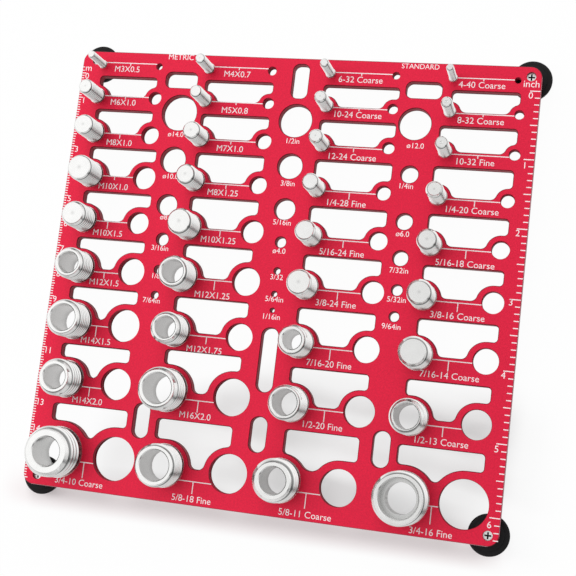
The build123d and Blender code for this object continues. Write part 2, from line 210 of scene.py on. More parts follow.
class Wire:
    """An output socket of a node tree that can stand in sums."""

    def __init__(self, tree, socket):
        self.tree = tree
        self.socket = socket

    __add__, __radd__ = sums("ADD"), sums("ADD", swapped=True)
    __sub__, __rsub__ = sums("SUBTRACT"), sums("SUBTRACT", swapped=True)
    __mul__, __rmul__ = sums("MULTIPLY"), sums("MULTIPLY", swapped=True)
    __truediv__, __mod__ = sums("DIVIDE"), sums("FLOORED_MODULO")
    __lt__, __gt__ = sums("LESS_THAN"), sums("GREATER_THAN")
    least, most = sums("MINIMUM"), sums("MAXIMUM")

    def __neg__(self):
        return 0.0 - self

    def output(self, name):
        """Another output of the same node."""
        return Wire(self.tree, self.socket.node.outputs[name])


class Tree:
    """A node tree that is written as expressions."""

    def __init__(self, tree):
        self.nodes = tree.nodes
        self.links = tree.links
        self.nodes.clear()

    def feed(self, socket, value):
        """Give an input socket a value or a wire."""
        if isinstance(value, Wire):
            self.links.new(value.socket, socket)
        else:
            socket.default_value = value

    def node(self, kind, values=None, stops=(), **settings):
        """Add a node with its settings, its ramp's stops and the values or wires of its sockets."""
        node = self.nodes.new(kind)
        for name, setting in settings.items():
            setattr(node, name, setting)
        if stops:
            set_stops(node.color_ramp, stops)
        for name, value in (values or {}).items():
            self.feed(node.inputs[name], value)
        outputs = [socket for socket in node.outputs if socket.enabled]
        return Wire(self, outputs[0]) if outputs else node

    def maths(self, operation, *values):
        """The result of an operation on one or two numbers."""
        return self.node("ShaderNodeMath", dict(enumerate(values)), operation=operation)

    def vector(self, x=0.0, y=0.0, z=0.0):
        return self.node("ShaderNodeCombineXYZ", {0: x, 1: y, 2: z})

    def parts(self, vector):
        """The three parts of a vector."""
        node = self.node("ShaderNodeSeparateXYZ", {0: vector})
        return [node.output(axis) for axis in "XYZ"]

    def dot(self, first, second):
        """How far two directions agree."""
        return self.node("ShaderNodeVectorMath", {0: first, 1: second},
                         operation="DOT_PRODUCT").output("Value")

    def rise(self, value, limits):
        """From 0 to 1 while a value goes from one limit to the other, also downwards."""
        return self.node("ShaderNodeMapRange", {
            "Value": value, "From Min": limits[0], "From Max": limits[1]},
            interpolation_type="SMOOTHSTEP")


def set_stops(ramp, stops):
    """Give a ramp its stops, each with its place and its grey or its colour."""
    # Where a new stop begins has no meaning, because each is placed below
    while len(ramp.elements) < len(stops):
        ramp.elements.new(0.5)
    for element, (place, shade) in zip(ramp.elements, stops):
        element.position = place
        element.color = rgba((shade,) * 3 if isinstance(shade, float) else shade)


# A noise: its turns in a metre, its detail and its roughness, and where it mottles a colour, its
# two ends and how dark or pale the colour is there
Noise = namedtuple("Noise", "scale detail roughness ends shades", defaults=(None, None))
DYE_CLOUD = Noise(38.0, 3.0, 0.55, (0.3, 0.7), (0.93, 1.05))
DYE_BLOT = Noise(1500.0, 2.0, 0.6, (0.35, 0.65), (0.74, 1.26))
BLAST_GRAIN = Noise(5200.0, 3.0, 0.6, (0.38, 0.62), (0.80, 1.18))
ENGRAVED_GRAIN = Noise(4200.0, 3.0, 0.5, (0.3, 0.7), (0.86, 1.08))
PLATING_CLOUD = Noise(260.0, 3.0, 0.6, (0.3, 0.7), (0.97, 1.03))
TURNING_MARKS = Noise(5200.0, 3.0, 0.7)
RUBBER_DUST = Noise(420.0, 4.0, 0.65, (0.35, 0.75), (0.8, 1.5))
MOULDED_GRAIN = Noise(3000.0, 3.0, 0.5)
NICKEL_CLOUD = Noise(900.0, 3.0, 0.5, (0.3, 0.7))
FLOOR_STREAKS = Noise(1.0, 1.0, 0.4)

# A surface: how metallic it is, its least roughness and what its noise adds, the strength and the
# height of its bumps, in millimetres, and how much it mirrors where it isn't metal
Surface = namedtuple(
    "Surface", "metallic roughness rougher bump_strength bump_height specular", defaults=(0.5,))
ANODISED = Surface(0.55, 0.42, 0.10, 0.22, 0.05)
ENGRAVED = Surface(0.0, 0.45, 0.15, 0.2, 0.02)
PLATED = Surface(1.0, 0.20, 0.08, 0.18, 0.02)
RUBBER = Surface(0.0, 0.52, 0.18, 0.3, 0.04, 0.22)
NICKEL = Surface(1.0, 0.28, 0.2, 0.1, 0.02)


class Finish(Tree):
    """A material whose surface is one principled shader."""

    def __init__(self, name):
        self.material = bpy.data.materials.new(name)
        self.material.use_nodes = True
        super().__init__(self.material.node_tree)
        self.place = self.node("ShaderNodeTexCoord").output("Object")

    def attribute(self, name):
        """A number that the mesh keeps for each of its points."""
        return self.node("ShaderNodeAttribute", attribute_name=name).output("Fac")

    def noise(self, noise, dimensions="3D", **place):
        """Noise on the object's own coordinates, or on a place that is given."""
        return self.node("ShaderNodeTexNoise", {
            **(place or {"Vector": self.place}), "Scale": noise.scale, "Detail": noise.detail,
            "Roughness": noise.roughness}, noise_dimensions=dimensions)

    def ramp(self, value, stops):
        """The colour of a ramp at a value."""
        return self.node("ShaderNodeValToRGB", {"Fac": value}, stops)

    def mottled(self, noise, colour, value=None):
        """A colour made darker and paler by a noise, or by its value where that is at hand."""
        return self.ramp(value or self.noise(noise), [
            (end, toned(colour, shade)) for end, shade in zip(noise.ends, noise.shades)])

    def blend(self, share, first, second):
        """A colour between two, by a share."""
        values = dict(zip(MIX_INPUTS, (share, first, second)))
        return self.node("ShaderNodeMix", values, data_type="RGBA")

    def surface(self, surface, colour, rough, bumps):
        """End the material in its shader, with the noise of its roughness and of its bumps."""
        normal = self.node("ShaderNodeBump", {
            "Height": bumps, "Strength": surface.bump_strength,
            "Distance": surface.bump_height * MM})
        shader = self.node("ShaderNodeBsdfPrincipled", {
            "Base Color": colour, "Metallic": surface.metallic,
            "Roughness": surface.roughness + surface.rougher * rough,
            "Specular IOR Level": surface.specular, "Normal": normal})
        self.node("ShaderNodeOutputMaterial", {"Surface": shader})
        return self.material


def rgba(colour):
    """An opaque colour."""
    return (*colour, 1.0)


def toned(colour, share):
    """A colour made darker, or paler where the share is above one."""
    return tuple(part * share for part in colour)


def length_setting(name, description, millimetres):
    """A length, given in millimetres and kept in metres."""
    return FloatProperty(
        name=name, description=description, default=millimetres * MM, min=0.0, unit="LENGTH")


def colour_setting(name, description, default):
    """A colour."""
    return FloatVectorProperty(
        name=name, description=description, subtype="COLOR", size=3, min=0.0, max=1.0,
        default=default)


def share_setting(name, description, default, low=0.0, high=1.0):
    """A share of something."""
    return FloatProperty(
        name=name, description=description, default=default, min=low, max=high,
        subtype="FACTOR")


def segments_setting(name, description, default):
    """How many segments a round shape has."""
    return IntProperty(
        name=name, description=description, default=default, min=LEAST_SEGMENTS)


class PlateSettings(bpy.types.PropertyGroup):
    colour: colour_setting(
        "Plate colour", "Colour of the anodised plate", (0.745, 0.0108, 0.051))
    deburr: length_setting("Deburring", "Width of the small chamfer round every edge", 0.26)
    countersink: length_setting(
        "Countersink", "How far the mouth of a tapped hole is wider than its thread", 0.15)
    hole_segments: segments_setting("Hole segments", "Segments round each round hole", 64)


class EngravingSettings(bpy.types.PropertyGroup):
    colour: colour_setting(
        "Engraving colour", "Colour of the engraved words, lines and rulers", (0.96, 0.83, 0.85))
    cap_height: length_setting("Letter height", "Height of a capital letter", 2.3)
    line_width: length_setting(
        "Line width", "Width of the line from each stud to its hole", 0.36)
    tick_width: length_setting("Tick width", "Width of a tick of the rulers", 0.36)
    relief: length_setting("Relief", "How far the pale marks stand out of the face", 0.012)


class StudSettings(bpy.types.PropertyGroup):
    colour: colour_setting(
        "Plating colour", "Colour of the bright plated steel", (0.80, 0.80, 0.79))
    depth_share: share_setting(
        "Thread depth", "Depth of a stud's thread over its pitch", 0.61, 0.1, 0.9)
    lip: length_setting("Lip", "Chamfer inside the mouth of a hollow stud", 0.35)
    segments: segments_setting("Stud segments", "Segments round each stud", 72)


class FootSettings(bpy.types.PropertyGroup):
    colour: colour_setting(
        "Rubber colour", "Colour of the rubber feet", (0.006, 0.0055, 0.006))
    segments: segments_setting("Foot segments", "Segments round each foot", 96)


class StageSettings(bpy.types.PropertyGroup):
    floor_colour: colour_setting("Floor colour", "Colour of the floor", (0.80, 0.80, 0.80))
    floor_glow: share_setting(
        "Floor glow", "Share of the seen floor that is plain white", 0.97)
    shade: share_setting(
        "Shade", "Share of the floor's glow that is missing in its shade", 0.46)
    floor_size: FloatProperty(
        name="Floor size", description="Side of the square floor", default=4.0, min=1.0,
        unit="LENGTH")
    lamp_power: FloatProperty(
        name="Lamp power", description="Power of both lamps together", default=41.0, min=0.0,
        unit="POWER")
    sky: FloatProperty(
        name="Sky", description="Strength of the light from all round", default=1.0, min=0.0)


def plate_point(x, y, z=0.0):
    """A place from the lower left corner of the plate's face, in the row frame's millimetres."""
    return Vector((LEFT + x, FRONT + y, FACE + z))


# How much of the plate's colour its blots and its specks make up
BLOT_SHARE = 0.45
SPECK_SHARE = 0.45

# How much painted shade darkens the walls of the plate's openings, from its face to its back: most
# on the chamfer at the face. Then what the darkest painted shade leaves of the colour
WALL_DEPTH = 3.5
WALL_SHADE = [(0.0, 0.0), (0.01, 0.80), (0.07, 0.80), (0.10, 0.45), (0.5, 0.60), (0.9, 0.85)]
DEEPEST_PAINTED_SHADE = 0.06

# A painted highlight along the plate's right and front edges: its colour, where it ends inside
# them, and how deep it goes
PAINTED_EDGE_HIGHLIGHT = (1.0, 0.48, 0.54)
EDGE_HIGHLIGHT_WIDTH = (0.05, 0.15)
EDGE_HIGHLIGHT_DEPTH = 0.25


def anodised_finish():
    """Red anodised aluminium with a fine blasted grain, painted shade in its openings and a painted
    highlight along its right and front edges.
    """
    red = bpy.context.scene.checker_plate.colour
    finish = Finish("anodised_plate")
    x, y, z = (part / MM for part in finish.parts(finish.place))
    grain = finish.noise(BLAST_GRAIN)
    colour = finish.blend(
        BLOT_SHARE, finish.mottled(DYE_CLOUD, red), finish.mottled(DYE_BLOT, red))
    colour = finish.blend(SPECK_SHARE, colour, finish.mottled(BLAST_GRAIN, red, grain))
    depth = FACE - z
    # Painted shade: the walls of the openings darken with depth, most on the chamfer at the face
    dark = finish.ramp(depth / WALL_DEPTH, WALL_SHADE)
    colour = finish.blend(dark, colour, rgba(toned(red, DEEPEST_PAINTED_SHADE)))
    # Painted highlight: the right and front edges are paled near the face
    inside = (RIGHT - x).least(y - FRONT)
    edge_highlight = (1.0 - finish.rise(inside, EDGE_HIGHLIGHT_WIDTH)) * (depth < EDGE_HIGHLIGHT_DEPTH)
    colour = finish.blend(edge_highlight, colour, rgba(PAINTED_EDGE_HIGHLIGHT))
    return finish.surface(ANODISED, colour, rough=grain, bumps=grain)


def engraving_finish():
    """Bare pale metal laid open by the engraving."""
    finish = Finish("engraving")
    grain = finish.noise(ENGRAVED_GRAIN)
    colour = finish.mottled(ENGRAVED_GRAIN, bpy.context.scene.checker_engraving.colour, grain)
    return finish.surface(ENGRAVED, colour, rough=grain, bumps=grain)


# Painted shade in the roots of the studs' threads: from which share of their depth it shows, and
# how dark it is
ROOT_SHADE_DEPTH = (0.22, 0.50)
PAINTED_ROOT_SHADE = 0.30


def plated_finish():
    """Bright plated steel, with the fine marks that turning leaves round its axis, and painted
    shade in its thread's roots and down its bore.
    """
    metal = bpy.context.scene.checker_studs.colour
    finish = Finish("plated_steel")
    marks = finish.noise(TURNING_MARKS, "1D", W=finish.attribute("turned_radius"))
    cloud = finish.noise(PLATING_CLOUD)
    # Painted shade: darker deep in the thread's roots and down the bore
    root_shaded = finish.rise(finish.attribute("shade_depth"), ROOT_SHADE_DEPTH)
    colour = finish.blend(
        root_shaded, finish.mottled(PLATING_CLOUD, metal, cloud), rgba(toned(metal, PAINTED_ROOT_SHADE)))
    return finish.surface(PLATED, colour, rough=cloud, bumps=marks)


def rubber_finish():
    """Matt black rubber with dust and a faint moulded grain."""
    finish = Finish("foot_rubber")
    dust = finish.noise(RUBBER_DUST)
    colour = finish.mottled(RUBBER_DUST, bpy.context.scene.checker_feet.colour, dust)
    return finish.surface(RUBBER, colour, rough=dust, bumps=finish.noise(MOULDED_GRAIN))


# Nickel where it is worn and where it is bright
NICKEL_TONES = ((0.76, 0.76, 0.76), (0.92, 0.92, 0.91))

# How far below the top of a screw's head the painted shade in its recess begins and is full
RECESS_SHADE_DEPTH = (0.05, 0.35)
PAINTED_RECESS_SHADE = (0.02, 0.02, 0.02)


def fixing_finish(name, head_top=None):
    """Nickel on the small screws and nuts, with painted shade below the top of a screw's head."""
    finish = Finish(name)
    cloud = finish.noise(NICKEL_CLOUD)
    colour = finish.ramp(cloud, list(zip(NICKEL_CLOUD.ends, NICKEL_TONES)))
    # Painted shade: darker below the top of a screw's head, in its recess and down its sides
    if head_top is not None:
        height = finish.parts(finish.place)[2] / MM
        recess_shaded = finish.rise(head_top - height, RECESS_SHADE_DEPTH)
        colour = finish.blend(recess_shaded, colour, rgba(PAINTED_RECESS_SHADE))
    return finish.surface(NICKEL, colour, rough=cloud, bumps=cloud)


class Shell:
    """Points and faces gathered for one mesh, in millimetres."""

    def __init__(self):
        self.points = []
        self.faces = []

    def add(self, points, faces):
        """Add points, and faces that count from the first of them."""
        start = len(self.points)
        self.points += [tuple(point) for point in points]
        self.faces += [[start + corner for corner in face] for face in faces]

    def band(self, rows, closed=True):
        """Join rows of points, each with the one after it. A closed row is a ring."""
        count = len(rows[0])
        faces = []
        for row in range(len(rows) - 1):
            low = row * count
            for here in range(count if closed else count - 1):
                there = (here + 1) % count
                faces.append((low + here, low + there, low + count + there, low + count + here))
        self.add([point for row in rows for point in row], faces)

    def turned(self, at, section, count):
        """Turn a section of radii and heights about a place on the plate. Gives its rings."""
        rings = [ring(at, radius, height, count) for radius, height in section]
        self.band(rings)
        return rings

    def box(self, low, high):
        """A plain block, for a line of the engraving."""
        xs, ys, zs = zip(low, high)
        points = [(x, y, z) for z in zs for y in ys for x in xs]
        faces = [
            (0, 2, 3, 1), (4, 5, 7, 6), (0, 1, 5, 4), (2, 6, 7, 3), (0, 4, 6, 2), (1, 3, 7, 5)]
        self.add(points, faces)

    def piece(self, name, material, smooth_to=SMOOTH_TO, turn=True):
        """The mesh as an object of the scene, closed and with its faces pointing outwards."""
        mesh = bpy.data.meshes.new(name)
        mesh.from_pydata([[MM * part for part in point] for point in self.points], [], self.faces)
        return finished(name, mesh, material, smooth_to, turn)


def placed(name, data):
    """A new object of the scene."""
    thing = bpy.data.objects.new(name, data)
    bpy.context.scene.collection.objects.link(thing)
    return thing


def taken(host):
    """The mesh of an object as the scene shows it. The object itself is removed."""
    bpy.context.view_layer.update()
    graph = bpy.context.evaluated_depsgraph_get()
    mesh = bpy.data.meshes.new_from_object(host.evaluated_get(graph))
    host.modifiers.clear()
    bpy.data.objects.remove(host)
    return mesh


def finished(name, mesh, material, smooth_to, turn=True):
    """Weld a mesh, turn its faces outwards, smooth it and put it in the scene."""
    work = bmesh.new()
    work.from_mesh(mesh)
    bmesh.ops.remove_doubles(work, verts=work.verts, dist=WELD)
    bmesh.ops.dissolve_degenerate(work, edges=work.edges, dist=WELD)
    bmesh.ops.delete(
        work, geom=[edge for edge in work.edges if not edge.link_faces], context="EDGES")
    bmesh.ops.delete(
        work, geom=[point for point in work.verts if not point.link_faces], context="VERTS")
    if turn:
        bmesh.ops.recalc_face_normals(work, faces=work.faces)
    open_edges = sum(1 for edge in work.edges if len(edge.link_faces) != 2)
    if open_edges:
        print(f"{name}: {open_edges} open edges")
    work.to_mesh(mesh)
    work.free()
    mesh.shade_smooth()
    mesh.set_sharp_from_angle(angle=math.radians(smooth_to))
    mesh.materials.clear()
    mesh.materials.append(material)
    return placed(name, mesh)


def around(at, radius, angle, height):
    """A point at an angle about a place on the plate."""
    return at[0] + radius * math.cos(angle), at[1] + radius * math.sin(angle), height


def ring(at, radius, height, count):
    """A circle of points about a place on the plate."""
    return [around(at, radius, math.tau * step / count, height) for step in range(count)]


def pushed(outline, distance):
    """A closed outline, anticlockwise, moved outwards along its own normals."""
    points = np.array(outline)
    before = points - np.roll(points, 1, axis=0)
    after = np.roll(points, -1, axis=0) - points
    along = before / np.linalg.norm(before, axis=1)[:, None]
    along += after / np.linalg.norm(after, axis=1)[:, None]
    along /= np.linalg.norm(along, axis=1)[:, None]
    return points + distance * np.stack([along[:, 1], -along[:, 0]], axis=1)


def lifted(outline, height):
    """An outline at a height."""
    return [(x, y, height) for x, y in outline]


# A face of the CAD plate is level where its normal rises by more than this
LEVEL_NORMAL = 0.5


def edges_of_face(work):
    """The edges of the plate's face, each as the index of its end by that of its start."""
    after = {}
    for edge in work.edges:
        if len(edge.link_faces) != 2:
            continue
        level = [face.normal.z > LEVEL_NORMAL and face.verts[0].co.z > FACE * MM - CAD_WELD
                 for face in edge.link_faces]
        if level[0] != level[1]:
            top = edge.link_faces[level.index(True)]
            loop = next(loop for loop in edge.link_loops if loop.face == top)
            after[loop.vert.index] = loop.link_loop_next.vert.index
    return after


def cad_outlines():
    """The outlines of the CAD plate's face, each anticlockwise, as arrays in millimetres."""
    work = bmesh.new()
    work.from_mesh(frame["nodes"]["gauge_plate"].data)
    bmesh.ops.remove_doubles(work, verts=work.verts, dist=CAD_WELD)
    after = edges_of_face(work)
    work.verts.ensure_lookup_table()
    outlines = []
    while after:
        start, place = after.popitem()
        chain = [start]
        while place != start:
            chain.append(place)
            place = after.pop(place)
        points = np.array([work.verts[index].co.xy for index in chain]) / MM
        ahead = np.roll(points, -1, axis=0)
        area = np.sum(points[:, 0] * ahead[:, 1] - ahead[:, 0] * points[:, 1])
        outlines.append(points if area > 0 else points[::-1])
    work.free()
    return outlines


# An outline is a circle where its points are as far from its middle within this. What is narrower
# than a slot is two round holes that meet in one corner of the CAD plate, and the screws'
# counterbores are held to a radius that keeps them apart. All in millimetres
ROUND_WITHIN = 0.03
NARROWEST_SLOT = 6.0
WIDEST_COUNTERBORE = 1.74


def without_round_holes(outlines):
    """The outlines that aren't circles: the plate's edge first, then its cut-outs and slots."""
    kept = []
    for points in outlines:
        reach = np.linalg.norm(points - points.mean(axis=0), axis=1)
        if np.ptp(reach) > ROUND_WITHIN and np.ptp(points, axis=0).min() > NARROWEST_SLOT:
            kept.append(points)
    return sorted(kept, key=lambda points: -np.ptp(points[:, 0]) * np.ptp(points[:, 1]))


def mount_place(name):
    """The axis of a mount, in millimetres."""
    return [part / MM for part in MOUNTS[name]["pos_m"][:2]]


def mount_radius(name):
    """The radius of a mount, in millimetres."""
    return MOUNTS[name]["dims"]["r_mm"]


# Where the corners of a tapped hole's thread lie over one pitch: the ends of its wide flat, then
# those of its narrow one. The spare turns of a thread are held at its ends
HOLE_FLATS = [0.0, 0.125, 0.4375, 0.6875]
SPARE_TURNS = 2

# How fast a thread may widen below the mouth of its hole, as a share of the depth
COUNTERSINK_SLOPE = 0.7


def thread_rows(at, radii, pitch, count, cap):
    """Rows of points that climb round a tapped hole, four of them in each turn of its thread.

    The radii are those of the wide and the narrow flat. Points that would leave the plate are held
    at its face and its back. The cap gives the radius that the countersinks leave.
    """
    wide, narrow = radii
    turns = math.ceil((FACE - BACK) / pitch) + SPARE_TURNS
    rows = []
    for row in range(len(HOLE_FLATS) * turns + 1):
        turn, part = divmod(row, len(HOLE_FLATS))
        radius = wide if part < 2 else narrow
        points = []
        for step in range(count + 1):
            z = BACK + pitch * (turn + HOLE_FLATS[part] + step / count - 1.0)
            z = min(max(z, BACK), FACE)
            points.append(around(at, cap(radius, z), math.tau * step / count, z))
        rows.append(points)
    return rows


def add_tapped_hole(shell, name, settings):
    """The wall of a tapped hole, with its thread and the small countersinks at its ends."""
    at, narrow, note = mount_place(name), mount_radius(name), NOTES[name]
    mouth = narrow + settings.countersink / MM

    def cap(radius, z):
        depth = min(FACE - z, z - BACK)
        return max(min(radius, mouth + COUNTERSINK_SLOPE * depth), mouth - depth)

    radii = (note["major_r_mm"], narrow)
    rows = thread_rows(at, radii, note["pitch_mm"], settings.hole_segments, cap)
    shell.band(rows, closed=False)
    return ring(at, mouth, FACE, settings.hole_segments)


def add_plain_hole(shell, name, settings):
    """The wall of a gauge hole, deburred at both ends."""
    radius, deburr = mount_radius(name), settings.deburr / MM
    section = [(radius + deburr, FACE), (radius, FACE - deburr), (radius, BACK + deburr),
               (radius + deburr, BACK)]
    return shell.turned(mount_place(name), section, settings.hole_segments)[0]


def add_seat(shell, name, settings):
    """The wall of the hole that a stud is pressed into."""
    radius = pressed_radius(name.removeprefix("nut_check_")) + SEAT_GAP
    section = [(radius, FACE), (radius, BACK)]
    return shell.turned(mount_place(name), section, settings.hole_segments)[0]


HOLE_MAKERS = {
    "bolt_check": add_tapped_hole, "gauge_hole": add_plain_hole, "nut_check": add_seat}


def pressed_radius(name):
    """Radius of a stud's pressed end, which is its widest part, in millimetres."""
    low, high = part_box("stud_" + name)
    return (high.x - low.x) / 2 / MM


def foot_axis(corner):
    """The axis of a corner's foot, in millimetres."""
    low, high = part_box("foot_" + corner)
    return [(low.x + high.x) / 2 / MM, (low.y + high.y) / 2 / MM]


# How far round its axis a screw's hole is looked for, how near to the plate's face and back its
# rims are, and how far inside the plate the step between them is, in millimetres
SCREW_HOLE_REACH = 2.5
RIM_WITHIN = 1e-3
STEP_INSIDE = 0.1


def screw_hole(at):
    """The CAD plate's hole at a place: its radii on face and back, and its step's height."""
    points = np.array([vertex.co for vertex in frame["nodes"]["gauge_plate"].data.vertices]) / MM
    reach = np.linalg.norm(points[:, :2] - np.array(at), axis=1)
    heights = points[reach < SCREW_HOLE_REACH, 2]
    reach = reach[reach < SCREW_HOLE_REACH]
    head = reach[heights > FACE - RIM_WITHIN].min()
    shank = reach[heights < BACK + RIM_WITHIN].min()
    inner = heights[(heights > BACK + STEP_INSIDE) & (heights < FACE - STEP_INSIDE)]
    return min(head, WIDEST_COUNTERBORE), shank, inner.min()


def add_edges(shell, deburr):
    """The deburred walls of the plate's edge, its cut-outs and its slots, and their outlines."""
    wide = []
    for outline in without_round_holes(cad_outlines()):
        wide.append(pushed(outline, deburr if wide else -deburr))
        shell.band([lifted(wide[-1], FACE), lifted(outline, FACE - deburr),
                    lifted(outline, BACK + deburr), lifted(wide[-1], BACK)])
    return wide


def add_screw_holes(shell, count):
    """The counterbored holes of the screws, and their outlines on the face and the back."""
    heads, shanks = [], []
    for corner in FOOT_CORNERS:
        at = foot_axis(corner)
        head, shank, step = screw_hole(at)
        section = [(head, FACE), (head, step), (shank, step), (shank, BACK)]
        rings = shell.turned(at, section, count)
        heads.append(rings[0])
        shanks.append(rings[-1])
    return heads, shanks


# The filling that keeps what lies inside an outline, and how near points are one, in millimetres
FILL_INSIDE = 1
FILL_WELD = 1e-6


def level_face(shell, outlines, height):
    """Fill the plate's face or back between its edge, the first outline, and its openings."""
    points = []
    edges = []
    loops = []
    for outline in outlines:
        start = len(points)
        count = len(outline)
        points += [Vector((point[0], point[1])) for point in outline]
        edges += [(start + step, start + (step + 1) % count) for step in range(count)]
        loops.append(list(range(start, start + count)))
    corners, _, faces, _, _, sources = geometry.delaunay_2d_cdt(
        points, edges, loops, FILL_INSIDE, FILL_WELD)
    kept = [face for face, source in zip(faces, sources) if list(source) == [0]]
    shell.add([(corner.x, corner.y, height) for corner in corners], kept)


def build_plate():
    """The plate as one closed mesh, with its threads cut and every edge deburred."""
    settings = bpy.context.scene.checker_plate
    shell = Shell()
    outlines = add_edges(shell, settings.deburr / MM)
    for name in MOUNTS:
        for start, add_hole in HOLE_MAKERS.items():
            if name.startswith(start):
                outlines.append(add_hole(shell, name, settings))
    heads, shanks = add_screw_holes(shell, settings.hole_segments)
    level_face(shell, outlines + heads, FACE)
    level_face(shell, outlines + shanks, BACK)
    return shell.piece("anodised_gauge_plate", anodised_finish())


# Where the corners of a stud's thread lie over one pitch: two on its crest, then two in its root.
# Its lead at the tip: a chamfer, as a share of the CAD's, then a cone that widens by a share of
# its length. A bore has as much painted shade as the thread has at this share of its depth
STUD_FLATS = [0.0, 0.07, 0.5, 0.56]
LEAD_EDGE = 0.30
LEAD_SLOPE = 0.75
BORE_SHADE_SHARE = 0.33

# How many rings a stud has below its thread and from its tip down its bore
RINGS_BELOW = 4
RINGS_ABOVE = 5

# Rows and corners count from zero, so this lies between the second and the third
PAST_SECOND = 1.5

# Inputs of the stud's tree: lengths in metres, and two counts
STUD_LENGTHS = (
    "radius collar pitch depth base start top chamfer bore mouth mouth_foot mouth_depth lip x y")
STUD_COUNTS = "segments thread_rows"


class Shape(Tree):
    """A tree of geometry nodes whose inputs are wires, named in its attribute given."""

    def __init__(self, name, lengths, counts):
        self.group = bpy.data.node_groups.new(name, "GeometryNodeTree")
        self.group.is_modifier = True
        super().__init__(self.group)
        inputs = [(label, "NodeSocketFloat") for label in lengths.split()]
        inputs += [(label, "NodeSocketInt") for label in counts.split()]
        for label, kind in inputs + [("finish", "NodeSocketMaterial")]:
            self.group.interface.new_socket(label, in_out="INPUT", socket_type=kind)
        self.group.interface.new_socket(
            "Geometry", in_out="OUTPUT", socket_type="NodeSocketGeometry")
        source = self.nodes.new("NodeGroupInput")
        self.given = SimpleNamespace(
            **{out.name: Wire(self, out) for out in source.outputs if out.name})

    def pick(self, index, choices):
        """One of several values, by a whole number."""
        node = self.nodes.new("GeometryNodeIndexSwitch")
        node.data_type = "FLOAT"
        while len(node.index_switch_items) < len(choices):
            node.index_switch_items.new()
        for socket, value in zip(node.inputs, [index, *choices]):
            self.feed(socket, value)
        return Wire(self, node.outputs[0])

    def close(self, mesh):
        """End the tree in real geometry with its material."""
        real = self.node("GeometryNodeRealizeInstances", {"Geometry": mesh})
        dressed = self.node(
            "GeometryNodeSetMaterial", {"Geometry": real, "Material": self.given.finish})
        self.feed(self.nodes.new("NodeGroupOutput").inputs["Geometry"], dressed)
        return self

    def grow(self, values):
        """The mesh that the tree makes from these values of its inputs."""
        host = placed("host", bpy.data.meshes.new("host"))
        modifier = host.modifiers.new("shape", "NODES")
        modifier.node_group = self.group
        for item in self.group.interface.items_tree:
            if item.in_out == "INPUT":
                modifier[item.identifier] = values[item.name]
        return taken(host)


def thread_point(shape, row, share):
    """A point of a stud's thread: its radius, its height and the radius of a crest there."""
    given = shape.given
    step = row - RINGS_BELOW
    part = step % len(STUD_FLATS)
    turn = (step - part) / len(STUD_FLATS)
    height = given.start + given.pitch * (turn + shape.pick(part, STUD_FLATS) + share - 1.0)
    height = height.most(given.start).least(given.top)
    profile = given.radius - given.depth * (part > PAST_SECOND)
    below_tip = given.top - height
    edge = given.chamfer * LEAD_EDGE
    lead = below_tip.least(edge) + LEAD_SLOPE * (below_tip - edge).most(0.0)
    tip_cone = given.radius - given.chamfer + lead
    foot_cone = given.radius - given.depth + (height - given.start)
    return profile.least(tip_cone).least(foot_cone), height, given.radius.least(tip_cone)


def end_rings(given):
    """Radius and height of a stud's rings below its thread, and from its tip down its bore."""
    bore, collar, mouth, top = given.bore, given.collar, given.mouth, given.top
    floor = top - given.mouth_depth
    below = [(bore, given.base), (collar, given.base), (collar, given.start),
             (given.radius - given.depth, given.start)]
    above = [(mouth + given.lip, top), (mouth, top - given.lip), (given.mouth_foot, floor),
             (bore, floor), (bore, given.base)]
    return below, above


def stud_tree():
    """Geometry nodes for a turned stud: a sheet of rings that follows its thread and its bore."""
    shape = Shape("threaded_stud", STUD_LENGTHS, STUD_COUNTS)
    given = shape.given
    rows = given.thread_rows + (RINGS_BELOW + RINGS_ABOVE)
    grid = shape.node("GeometryNodeMeshGrid", {
        "Size X": 1.0, "Size Y": rows - 1.0, "Vertices X": given.segments + 1.0,
        "Vertices Y": rows})
    grid_x, grid_y, _ = shape.parts(shape.node("GeometryNodeInputPosition"))
    share = grid_x + HALF
    row = shape.maths("ROUND", grid_y + (rows - 1.0) / 2.0)

    # The rings below the thread, then four for each of its turns, then those down the bore
    before = row < RINGS_BELOW - HALF
    after = row > given.thread_rows + (RINGS_BELOW - HALF)
    middle = 1.0 - before - after
    late = row - given.thread_rows - RINGS_BELOW
    below, above = end_rings(given)
    low_reach, low_height = (shape.pick(row, column) for column in zip(*below))
    high_reach, high_height = (shape.pick(late, column) for column in zip(*above))
    reach, height, crest = thread_point(shape, row, share)
    # How deep each point lies in the thread, or a fixed share down the bore, for the plated
    # finish's painted shade
    shade_depth = middle * (crest - reach) / given.depth + BORE_SHADE_SHARE * (late > PAST_SECOND)
    reach = before * low_reach + middle * reach + after * high_reach
    height = before * low_height + middle * height + after * high_height

    across, along = (shape.maths(kind, share * math.tau) for kind in ("COSINE", "SINE"))
    spot = shape.vector(given.x + reach * across, given.y + reach * along, height)
    marked = grid
    for name, value in (("turned_radius", reach), ("shade_depth", shade_depth)):
        marked = shape.node("GeometryNodeStoreNamedAttribute", {
            "Geometry": marked, "Name": name, "Value": value}, data_type="FLOAT", domain="POINT")
    return shape.close(
        shape.node("GeometryNodeSetPosition", {"Geometry": marked, "Position": spot}))


# The studs with a centre drilling, and its width at the tip and at its bottom, its depth and its
# lip. The depth of a mouth that is wider than its bore, and how far above its end a plain bore
# has a ring. All in millimetres
CENTRE_MARKED = ("no10_32", "no8_32")
CENTRE_DRILLING = (1.1, 0.0, 0.7, 0.05)
MOUTH_DEPTH = 6.5
BORE_RING = 0.6


def stud_mouth(name, length, lip):
    """A stud's mouth: its width at the tip and at its bottom, its depth and its lip."""
    note = NOTES["nut_check_" + name]
    if name in CENTRE_MARKED:
        return CENTRE_DRILLING
    if note["mouth_mm"]:
        return note["mouth_mm"], note["mouth_mm"], MOUTH_DEPTH, lip
    if note["bore_mm"]:
        return note["bore_mm"], note["bore_mm"], length - BORE_RING, lip
    return 0.0, 0.0, 0.0, 0.0


